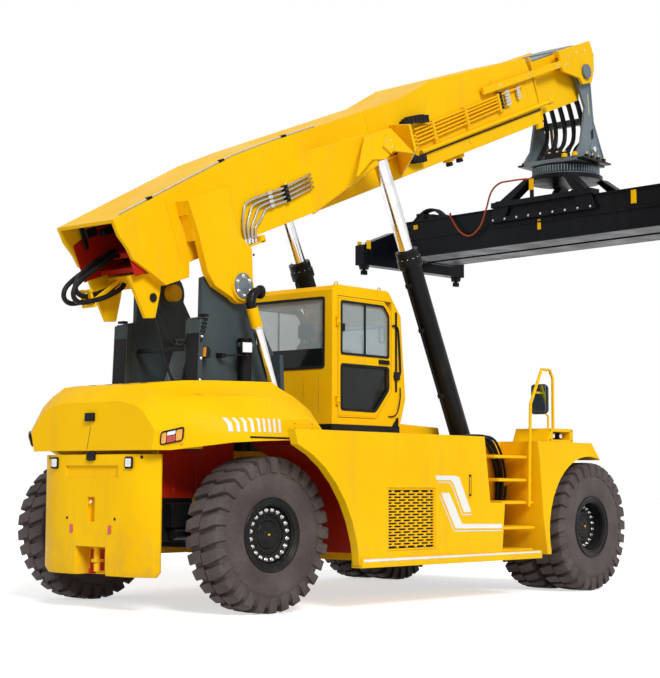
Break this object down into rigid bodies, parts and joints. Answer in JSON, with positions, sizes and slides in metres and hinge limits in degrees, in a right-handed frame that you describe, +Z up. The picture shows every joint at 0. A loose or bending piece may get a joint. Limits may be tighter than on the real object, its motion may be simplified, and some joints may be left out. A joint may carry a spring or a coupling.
{
  "type": "reach stacker",
  "caption": "Container reach stacker with a raised telescopic boom, a slewing spreader, a cab under the boom, twin front wheels and steered rear wheels",
  "frame": {"origin": "middle of the whole machine's box on the ground, under the boom pose of the picture", "axes": "+X forward, +Y left, +Z up, metres"},
  "size_m": [11.1512, 6.2446, 8.0686],
  "materials": {
    "black_paint": "satin black enamel",
    "black_plastic": "grained black plastic",
    "chrome_steel": "hard chrome plate",
    "dark_glass": "tinted safety glass",
    "grey_paint": "satin blue grey enamel",
    "navy_paint": "satin navy black enamel",
    "red_paint": "satin red enamel",
    "seat_cloth": "woven cloth",
    "tyre_rubber": "worn rubber",
    "yellow_paint": "semi-gloss yellow enamel"
  },
  "bodies": {
    "knuckle_right": {"knuckle_right": "black_paint"},
    "rear_wheel_right": {"tyre_rear_right": "tyre_rubber", "rim_rear_right": "black_paint"},
    "front_wheel_right": {"tyre_front_outer_right": "tyre_rubber", "tyre_front_inner_right": "tyre_rubber", "rim_front_right": "black_paint"},
    "lift_barrel_right": {"lift_barrel_right": "black_paint"},
    "lift_rod_right": {"lift_rod_right": "chrome_steel"},
    "door_right": {"door_glass_right": "dark_glass", "door_right": "yellow_paint"},
    "telescope_right": {"telescope_beam_right": "navy_paint"},
    "knuckle_left": {"knuckle_left": "black_paint"},
    "rear_wheel_left": {"tyre_rear_left": "tyre_rubber", "rim_rear_left": "black_paint"},
    "front_wheel_left": {"tyre_front_outer_left": "tyre_rubber", "tyre_front_inner_left": "tyre_rubber", "rim_front_left": "black_paint"},
    "lift_barrel_left": {"lift_barrel_left": "black_paint"},
    "lift_rod_left": {"lift_rod_left": "chrome_steel"},
    "door_left": {"door_glass_left": "dark_glass", "door_left": "yellow_paint"},
    "telescope_left": {"telescope_beam_left": "navy_paint"},
    "boom_outer": {"boom_outer": "yellow_paint", "boom_pipes": "yellow_paint", "hose_chain": "black_plastic"},
    "boom_inner": {"boom_inner": "yellow_paint"},
    "hanger": {"hanger": "grey_paint"},
    "slew_frame": {"slew_frame": "navy_paint"},
    "spreader_frame": {"spreader_frame": "navy_paint"},
    "chassis": {"arch_liner_left": "red_paint", "arch_liner_right": "red_paint", "boom_tower_left": "grey_paint", "boom_tower_right": "grey_paint", "cab_floor": "black_paint", "cab_shell": "yellow_paint", "chassis_frame": "yellow_paint", "counterweight": "yellow_paint", "driver_seat": "seat_cloth", "engine_block": "black_paint", "engine_hood": "yellow_paint", "exhaust_pipe": "chrome_steel", "front_drive_axle": "black_paint", "front_fender_left": "yellow_paint", "front_fender_right": "yellow_paint", "grille_left": "yellow_paint", "grille_right": "yellow_paint", "hand_rail_left": "yellow_paint", "hand_rail_right": "yellow_paint", "lamp_box_left": "yellow_paint", "lamp_box_right": "yellow_paint", "mirror_left": "black_plastic", "mirror_right": "black_plastic", "rear_steer_axle": "black_paint", "rear_window": "dark_glass", "side_tank_left": "yellow_paint", "side_tank_right": "yellow_paint", "steering_console": "black_plastic", "steps_left": "yellow_paint", "steps_right": "yellow_paint", "windscreen": "dark_glass"}
  },
  "joints": [
    {"name": "steer_right", "type": "hinge", "parent": "chassis", "child": "knuckle_right", "pos_m": [-4.26712, -1.31886, 0.825], "axis": [0, 0, 1], "range_deg": [-30, 40]},
    {"name": "rear_wheel_spin_right", "type": "hinge", "parent": "knuckle_right", "child": "rear_wheel_right", "pos_m": [-4.30233, -1.72132, 0.825], "axis": [0.0872, 0.9962, 0], "continuous": true},
    {"name": "front_wheel_spin_right", "type": "hinge", "parent": "chassis", "child": "front_wheel_right", "pos_m": [1.37288, -2.12686, 0.825], "axis": [0, 1, 0], "continuous": true},
    {"name": "door_hinge_right", "type": "hinge", "parent": "chassis", "child": "door_right", "pos_m": [-2.21102, -1.04086, 0], "axis": [0, 0, -1], "range_deg": [0, 100]},
    {"name": "steer_left", "type": "hinge", "parent": "chassis", "child": "knuckle_left", "pos_m": [-4.26712, 0.72114, 0.825], "axis": [0, 0, 1], "range_deg": [-30, 40]},
    {"name": "rear_wheel_spin_left", "type": "hinge", "parent": "knuckle_left", "child": "rear_wheel_left", "pos_m": [-4.23191, 1.1236, 0.825], "axis": [0.0872, 0.9962, 0], "continuous": true},
    {"name": "front_wheel_spin_left", "type": "hinge", "parent": "chassis", "child": "front_wheel_left", "pos_m": [1.37288, 1.52914, 0.825], "axis": [0, 1, 0], "continuous": true},
    {"name": "door_hinge_left", "type": "hinge", "parent": "chassis", "child": "door_left", "pos_m": [-2.21102, 0.44314, 0], "axis": [0, 0, 1], "range_deg": [0, 100]},
    {"name": "boom_luff", "type": "hinge", "parent": "chassis", "child": "boom_outer", "pos_m": [-3.80712, -0.29886, 3.58], "axis": [0, 1, 0], "range_deg": [-38.5, 21.5]},
    {"name": "boom_extension", "type": "slide", "parent": "boom_outer", "child": "boom_inner", "axis": [0.9304, 0, 0.3665], "range_m": [0, 6]},
    {"name": "hanger_swing", "type": "hinge", "parent": "boom_inner", "child": "hanger", "pos_m": [3.77919, -0.29886, 7.56788], "axis": [0, 1, 0], "range_deg": [-21.5, 38.5]},
    {"name": "slew", "type": "hinge", "parent": "hanger", "child": "slew_frame", "pos_m": [4.05919, -0.29886, 6.10788], "axis": [0, 0, 1], "range_deg": [-190, 110]},
    {"name": "side_shift", "type": "slide", "parent": "slew_frame", "child": "spreader_frame", "axis": [0.0872, 0.9962, 0], "range_m": [-1.1, 0.5]},
    {"name": "telescope_right", "type": "slide", "parent": "spreader_frame", "child": "telescope_right", "axis": [-0.0872, -0.9962, 0], "range_m": [0, 3.05]},
    {"name": "telescope_left", "type": "slide", "parent": "spreader_frame", "child": "telescope_left", "axis": [0.0872, 0.9962, 0], "range_m": [0, 3.05]},
    {"name": "lift_tilt_right", "type": "hinge", "parent": "chassis", "child": "lift_barrel_right", "pos_m": [0.43288, -1.19886, 1.2], "axis": [0, 1, 0], "range_deg": [-9, 5.6]},
    {"name": "lift_stroke_right", "type": "slide", "parent": "lift_barrel_right", "child": "lift_rod_right", "axis": [-0.4416, 0, 0.8972], "range_m": [-1.1, 1.9]},
    {"name": "lift_tilt_left", "type": "hinge", "parent": "chassis", "child": "lift_barrel_left", "pos_m": [0.43288, 0.60114, 1.2], "axis": [0, 1, 0], "range_deg": [-9, 5.6]},
    {"name": "lift_stroke_left", "type": "slide", "parent": "lift_barrel_left", "child": "lift_rod_left", "axis": [-0.4416, 0, 0.8972], "range_m": [-1.1, 1.9]}
  ],
  "couplings": [
    {"joint": "steer_left", "follows": "steer_right", "ratio": 1},
    {"joint": "hanger_swing", "follows": "boom_luff", "ratio": -1},
    {"joint": "telescope_left", "follows": "telescope_right", "ratio": 1},
    {"joint": "lift_tilt_right", "follows": "boom_luff", "ratio": 0.21},
    {"joint": "lift_stroke_right", "follows": "boom_luff", "m_per_rad": -2.6},
    {"joint": "lift_tilt_left", "follows": "boom_luff", "ratio": 0.21},
    {"joint": "lift_stroke_left", "follows": "boom_luff", "m_per_rad": -2.6}
  ]
}
